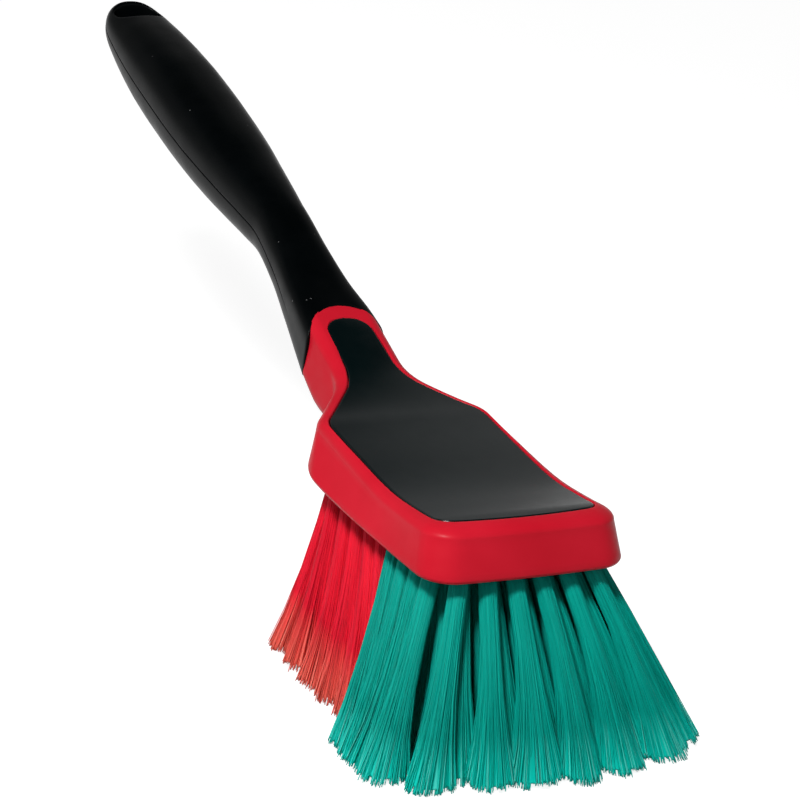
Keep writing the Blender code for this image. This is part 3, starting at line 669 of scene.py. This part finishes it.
TEAL_BODY, TEAL_TIP, TEAL_MILKY = (0.0, 0.41, 0.33), (0.0, 0.70, 0.58), (0.18, 0.82, 0.74)
RED_BODY, RED_TIP, RED_MILKY = (0.86, 0.012, 0.038), (1.0, 0.16, 0.115), (1.0, 0.34, 0.26)
TEAL_TIP_START, RED_TIP_START, SPLIT_START = 0.76, 0.70, 0.70
DARKEST, LIGHTEST = 0.86, 1.08
FILAMENT_ROUGHNESS, FILAMENT_SPECULAR, SHEEN_LOW, SHEEN_HIGH = 0.45, 0.12, 0.40, 0.55
SHEEN_CYCLES = 900.0


def row_y(row):
    """Place of a row's tufts along the brush: rows lie one pitch apart."""
    return FIRST_ROW_Y + row * ROW_PITCH


def root_z(row):
    """Height of a row's roots, sunk in the head's underside."""
    return under_line(np.array(row_y(row))) + ROOT_DEPTH


def tuft_places(row):
    """Places of a row's tufts across the brush, one pitch apart. The end rows have one less."""
    count = TUFTS_PER_ROW - (row in (0, TEAL_ROWS + RED_ROWS - 1))
    return (np.arange(count) - (count - 1) / 2) * TUFT_PITCH


def tuft_forms(row, rng):
    """Where each tuft of a row ends on the floor, its half widths there, the power by which it
    widens, its droop and its lean. Teal ends lie at x (a + b |x|), the outermost two shifted to
    one side, and red ends in proportion to x. All bow back by the square of the distance."""
    red = row >= TEAL_ROWS
    tuft = tuft_places(row)
    if red:
        x, lean = tuft * RED_REACH / tuft.max(), np.array((0.0, 0.0))
    else:
        x, lean = tuft * (TEAL_SPREAD + TEAL_SPREAD_GAIN * np.abs(tuft)), np.array(TEAL_LEANS)
        x -= END_SHIFT * (tuft / tuft_places(1).max()) ** END_SHIFT_POWER
    bow_middle = 0 if red else TIP_BOW_MIDDLE
    y = TIP_FRONT_Y + TEAL_TIP_PITCH * row
    y = y + TIP_BOW * ((x + lean.sum() - bow_middle) / TIP_BOW_HALF) ** 2
    y += (RED_TIP_PITCH - TEAL_TIP_PITCH) * max(0, row - TEAL_ROWS + 0.5)
    tip = np.stack([x, y], 1) + rng.normal(0, TIP_SCATTER, (len(tuft), 2))
    half = np.array(RED_TIP_HALF if red else TEAL_TIP_HALF)
    half = half * rng.uniform(LEAST_HALF, MOST_HALF, (len(tuft), 2))
    power = rng.uniform(LEAST_POWER, MOST_POWER, len(tuft)) + RED_POWER_GAIN * red
    teal_droop = TEAL_DROOP - TEAL_DROOP_FALL * (tuft / tuft.max()) ** 2
    droop = np.full(len(tuft), RED_DROOP) if red else teal_droop
    return tip, half, power, droop, lean


def tuft_points(row, forms, tuft, disc, s):
    """Places on the tufts at shares s of the way down. The middle line runs from root to tip as
    s + c s (1 - s), and leans aside. A place on the unit disc, which may change along the way,
    is stretched from the root's radius to the tip's half widths as s to a power."""
    tip, half, power, droop, lean = forms
    root = np.stack([tuft_places(row), np.full(len(tip), row_y(row))], 1)
    bent = s + droop[tuft][:, None] * s * (1 - s)
    middle = root[tuft][:, None] + (tip - root)[tuft][:, None] * bent[..., None]
    middle[..., 0] += lean[0] * np.clip(s / ROOT_LEAN_REACH, 0, 1) + lean[1] * s
    widened = (s ** power[tuft][:, None])[..., None]
    return middle + disc * (TUFT_RADIUS + (half[tuft][:, None] - TUFT_RADIUS) * widened)


def clumped(disc, tufts, rng):
    """Splits each tuft's filaments among clumps whose centres are strewn evenly over its disc,
    each filament to the nearest. Gives the clump of each, and its way on the disc to there."""
    reach = np.sqrt(rng.random((tufts, CLUMPS)))
    turn = rng.uniform(0, 2 * math.pi, (tufts, CLUMPS))
    centres = np.stack([reach * np.cos(turn), reach * np.sin(turn)], -1)
    apart = np.linalg.norm(disc.reshape(tufts, FILAMENTS, 1, 2) - centres[:, None], axis=-1)
    clump = apart.argmin(2)
    nearest = np.take_along_axis(centres, clump[..., None], 1).reshape(-1, 2)
    return clump, nearest - disc


def filament_paths(row, forms, rng):
    """Centre lines of a row's filaments, and a tone for each. Their places on the tuft's disc
    turn by the golden angle, and most lie near its rim, where they cover the tuft's body. Each
    is drawn to its clump as s to a power, strays as s to another, and ends short of the floor
    by its clump's share of the raggedness and one of its own."""
    tufts = len(forms[0])
    tuft = np.repeat(np.arange(tufts), FILAMENTS)
    count = len(tuft)
    i = np.tile(np.arange(FILAMENTS) + 0.5, tufts) / FILAMENTS
    rim = INNER_RADIUS + RIM_DEPTH * rng.random(count)
    radius = np.where(i > INNER_SHARE, rim, np.sqrt(i / INNER_SHARE) * INNER_RADIUS)
    angle = i * FILAMENTS * math.pi * (3 - math.sqrt(5)) + tuft * TUFT_TURN
    disc = np.stack([radius * np.cos(angle), radius * np.sin(angle)], 1)
    clump, pull = clumped(disc, tufts, rng)
    s = np.tile(FILAMENT_STEPS, (count, 1))
    share = TEAL_CLUMPING if row < TEAL_ROWS else RED_CLUMPING
    drawn = disc[:, None] + share * pull[:, None] * (s ** CLUMP_POWER)[..., None]
    flat = tuft_points(row, forms, tuft, drawn, s)
    spread = np.where(rng.random(count) < STRAYS, STRAY_SPREAD, LOOSE_SPREAD)
    loose = rng.normal(0, 1, (count, 2)) * spread[:, None]
    flat += loose[:, None] * (s ** LOOSE_POWER)[..., None]
    side_x = cad_box[1][0] - SIDE_ROOM
    flat[..., 0] = np.clip(flat[..., 0], -side_x, side_x)
    flat[..., 1] = np.maximum(flat[..., 1], cad_box[0][1] - BENCH_Y - FRONT_OVERHANG)
    uneven = np.take_along_axis(rng.random((tufts, CLUMPS)) ** 2, clump, 1).ravel()
    own = rng.random(count) ** 2
    short = RAGGED * (CLUMP_RAGGED_SHARE * uneven + OWN_RAGGED_SHARE * own)
    top = root_z(row)
    z = top + (short[:, None] - top) * s
    return np.concatenate([flat, z[..., None]], -1), rng.random(count)


def filament_rings(paths, tones):
    """Ring points: the line's point plus the radius along a direction, turned on by equal parts
    of a circle, and begun at an angle of each filament's own."""
    turn = 2 * math.pi * (np.arange(FILAMENT_SIDES) / FILAMENT_SIDES + tones[:, None])
    around = np.stack([np.cos(turn), np.sin(turn), np.zeros_like(turn)], -1) * FILAMENT_RADIUS
    return paths[:, :, None] + around[:, None]


def body_rings(row, forms):
    """The dense inside of each tuft, as a smooth tube a little within most of the filaments that
    lie at its rim."""
    tufts = len(forms[0])
    turn = 2 * math.pi * np.arange(BODY_SIDES) / BODY_SIDES
    disc = np.tile(np.stack([np.cos(turn), np.sin(turn)], 1) * BODY_FILL, (tufts, 1))
    tuft = np.repeat(np.arange(tufts), BODY_SIDES)
    s = np.tile(BODY_STEPS, (len(tuft), 1))
    flat = tuft_points(row, forms, tuft, disc[:, None], s)
    points = np.concatenate([flat, (root_z(row) * (1 - s))[..., None]], -1)
    return points.reshape(tufts, BODY_SIDES, len(BODY_STEPS), 3).swapaxes(1, 2)


def tube_faces(count, rings, sides):
    """Faces of many closed tubes one after another: quads between rings, one cap at each end."""
    k, j = np.meshgrid(np.arange(rings - 1), np.arange(sides), indexing="ij")
    a, b = k * sides + j, k * sides + (j + 1) % sides
    quads = np.stack([a, a + sides, b + sides, b], -1).reshape(-1, 4)
    starts = np.arange(count)[:, None, None] * rings * sides
    caps = np.stack([np.arange(sides), rings * sides - 1 - np.arange(sides)])
    return [(starts + quads).reshape(-1, 4), (starts + caps).reshape(-1, sides)]


def tuft_mesh(name, row, material, rng):
    """All tufts of a row in one mesh, with each point's place along its tuft and its own tone."""
    forms = tuft_forms(row, rng)
    paths, tones = filament_paths(row, forms, rng)
    hair, body = filament_rings(paths, tones), body_rings(row, forms)
    streaks = np.repeat(rng.random((len(body), 1, BODY_SIDES)), len(BODY_STEPS), 1)
    vertices = np.concatenate([hair.reshape(-1, 3), body.reshape(-1, 3)]) + (0, BENCH_Y, 0)
    tone = np.concatenate([np.repeat(tones, hair[0].size // 3), streaks.ravel()])
    hair_s = np.broadcast_to(np.array(FILAMENT_STEPS)[:, None], hair.shape[:3])
    body_s = np.broadcast_to(np.array(BODY_STEPS)[:, None], body.shape[:3])
    along = np.concatenate([hair_s.ravel(), body_s.ravel()])
    groups = tube_faces(*hair.shape[:3])
    groups += [faces + hair.size // 3 for faces in tube_faces(*body.shape[:3])]
    corners = np.concatenate([np.full(len(faces), faces.shape[1]) for faces in groups])
    loops = np.concatenate([faces.ravel() for faces in groups])
    mesh = bpy.data.meshes.new(name)
    mesh.vertices.add(len(vertices))
    mesh.vertices.foreach_set("co", vertices.astype(np.float32).ravel())
    mesh.loops.add(len(loops))
    mesh.loops.foreach_set("vertex_index", loops.astype(np.int32))
    mesh.polygons.add(len(corners))
    mesh.polygons.foreach_set("loop_start", (np.cumsum(corners) - corners).astype(np.int32))
    mesh.update(calc_edges=True)
    mesh.validate()
    mesh.shade_smooth()
    for title, values in (("tone", tone), ("along", along)):
        layer = mesh.attributes.new(title, "FLOAT", "POINT")
        layer.data.foreach_set("value", values.astype(np.float32))
    mesh.materials.append(material)
    piece = bpy.data.objects.new(name, mesh)
    bpy.context.scene.collection.objects.link(piece)
    return piece


def filament_material(name, body, tip, milky, tip_start):
    """Colour from root to tip along each filament, a little lighter or darker one by one. The
    lightest filaments turn milky over their last stretch, where they are split."""
    material, tree, shader = nodes_for(name, FILAMENT_ROUGHNESS, FILAMENT_SPECULAR)
    along = add(tree, "Attribute", attribute_name="along").outputs["Fac"]
    tone = add(tree, "Attribute", attribute_name="tone").outputs["Fac"]
    near_tip = ranged(tree, along, 0, 1, tip_start, 1.0)
    split = combined(tree, "MULTIPLY", ranged(tree, tone, 0, 1, SPLIT_START, 1.0), near_tip)
    light = add(tree, "HueSaturation")
    colour = mixed(tree, split, mixed(tree, near_tip, body, tip), milky)
    tree.links.new(colour, light.inputs["Color"])
    tree.links.new(ranged(tree, tone, DARKEST, LIGHTEST, 0, 1), light.inputs["Value"])
    tree.links.new(light.outputs["Color"], shader.inputs["Base Color"])
    sheen = ranged(tree, noise(tree, SHEEN_CYCLES, CLOUD_DETAIL), SHEEN_LOW, SHEEN_HIGH)
    tree.links.new(sheen, shader.inputs["Roughness"])
    return material


teal = filament_material("bristle_teal", TEAL_BODY, TEAL_TIP, TEAL_MILKY, TEAL_TIP_START)
red = filament_material("bristle_red", RED_BODY, RED_TIP, RED_MILKY, RED_TIP_START)
for row in range(TEAL_ROWS + RED_ROWS):
    rng = np.random.default_rng(FIRST_SEED + row)
    if row < TEAL_ROWS:
        colour, number, finish = "teal", row + 1, teal
    else:
        colour, number, finish = "red", row + 1 - TEAL_ROWS, red
    tufts = tuft_mesh(f"{colour}_tufts_{number}", row, finish, rng)
    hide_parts(f"{colour}_tuft_row_{number}")
    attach(tufts, "root")

# Studio: a pale floor with soft lights round the brush. The floor shows white to the camera
# where nothing shades it, and keeps the brush's shadow.
FLOOR_SIZE = 8.0
FLOOR_GREY, FLOOR_ROUGHNESS, FLOOR_LIFT = 0.45, 0.9, 0.88
KEY_PLACE, KEY_TARGET, KEY_SIZE, KEY_POWER = (-0.42, -0.36, 0.70), (0, 0, 0.04), 0.15, 5.8
SIDE_PLACE, SIDE_TARGET, SIDE_SIZE, SIDE_POWER = (-1.20, 0.45, 0.40), (0, 0.03, 0.03), 0.50, 1.2


def any_ray(tree, *kinds):
    """One where a ray is of one of the kinds named, and nought elsewhere."""
    rays = add(tree, "LightPath").outputs
    share = rays[kinds[0]]
    for kind in kinds[1:]:
        share = combined(tree, "MAXIMUM", share, rays[kind])
    return share


def floor_material():
    """Pale floor. What the lamps leave short of white is made up for the rays that show it."""
    material, tree, shader = nodes_for("studio_floor", FLOOR_ROUGHNESS, 0.0)
    shader.inputs["Base Color"].default_value = (FLOOR_GREY, FLOOR_GREY, FLOOR_GREY, 1)
    shown = any_ray(tree, "Is Camera Ray", "Is Glossy Ray", "Is Transmission Ray")
    lift = add(tree, "Math", operation="MULTIPLY")
    lift.inputs[1].default_value = FLOOR_LIFT
    tree.links.new(shown, lift.inputs[0])
    shader.inputs["Emission Color"].default_value = (1, 1, 1, 1)
    tree.links.new(lift.outputs[0], shader.inputs["Emission Strength"])
    return material


half = FLOOR_SIZE / 2
floor_corners = [(-half, -half, 0), (half, -half, 0), (half, half, 0), (-half, half, 0)]
floor_mesh = bpy.data.meshes.new("floor")
floor_mesh.from_pydata(floor_corners, [], [[0, 1, 2, 3]])
floor_mesh.materials.append(floor_material())
floor = bpy.data.objects.new("floor", floor_mesh)
bpy.context.scene.collection.objects.link(floor)


def soft_light(name, place, target, size, power):
    """Square lamp at place, turned to face target: its back points away from there, and its
    right side is level."""
    lamp = bpy.data.lights.new(name, "AREA")
    lamp.shape, lamp.size, lamp.energy = "SQUARE", size, power
    away = np.array(place, float) - target
    away /= np.linalg.norm(away)
    side = np.cross((0, 0, 1), away)
    side /= np.linalg.norm(side)
    stand(bpy.data.objects.new(name, lamp), side, np.cross(away, side), away, place)


soft_light("key", KEY_PLACE, KEY_TARGET, KEY_SIZE, KEY_POWER)
soft_light("side", SIDE_PLACE, SIDE_TARGET, SIDE_SIZE, SIDE_POWER)

# Room: white screens stand round the floor, as in a booth with an open top. They are brightest
# low down and on the camera's side, and it is dark overhead. Heights and sides are parts of
# a look's direction, from -1 to 1.
WALLS_FULL, WALLS_END = 0.52, 0.74
FAR_SIDE, NEAR_SIDE, NEAR_WAY = -0.30, 0.90, (-0.50, -0.87, 0)
FAR_STRENGTH, NEAR_STRENGTH = 0.235, 0.35
LOW_FULL, LOW_END, LOW_STRENGTH = 0.02, 0.17, 0.29

world = bpy.data.worlds.new("studio")
bpy.context.scene.world = world
world.use_nodes = True
sky = world.node_tree
sky.nodes.clear()
look = add(sky, "TexCoord").outputs["Generated"]
parts = add(sky, "SeparateXYZ")
sky.links.new(look, parts.inputs[0])
height = parts.outputs["Z"]
nearness = add(sky, "VectorMath", operation="DOT_PRODUCT")
nearness.inputs[1].default_value = NEAR_WAY
sky.links.new(look, nearness.inputs[0])
near_part = nearness.outputs["Value"]
walls = ranged(sky, height, 1, 0, WALLS_FULL, WALLS_END, "SMOOTHSTEP")
across = ranged(sky, near_part, FAR_STRENGTH, NEAR_STRENGTH, FAR_SIDE, NEAR_SIDE, "SMOOTHSTEP")
low = ranged(sky, height, LOW_STRENGTH, 0, LOW_FULL, LOW_END, "SMOOTHSTEP")
room = add(sky, "Background")
room.inputs["Color"].default_value = (1, 1, 1, 1)
strength = combined(sky, "ADD", combined(sky, "MULTIPLY", walls, across), low)
sky.links.new(strength, room.inputs["Strength"])
sky.links.new(room.outputs[0], add(sky, "OutputWorld").inputs["Surface"])
bpy.context.scene.view_settings.view_transform = "Standard"
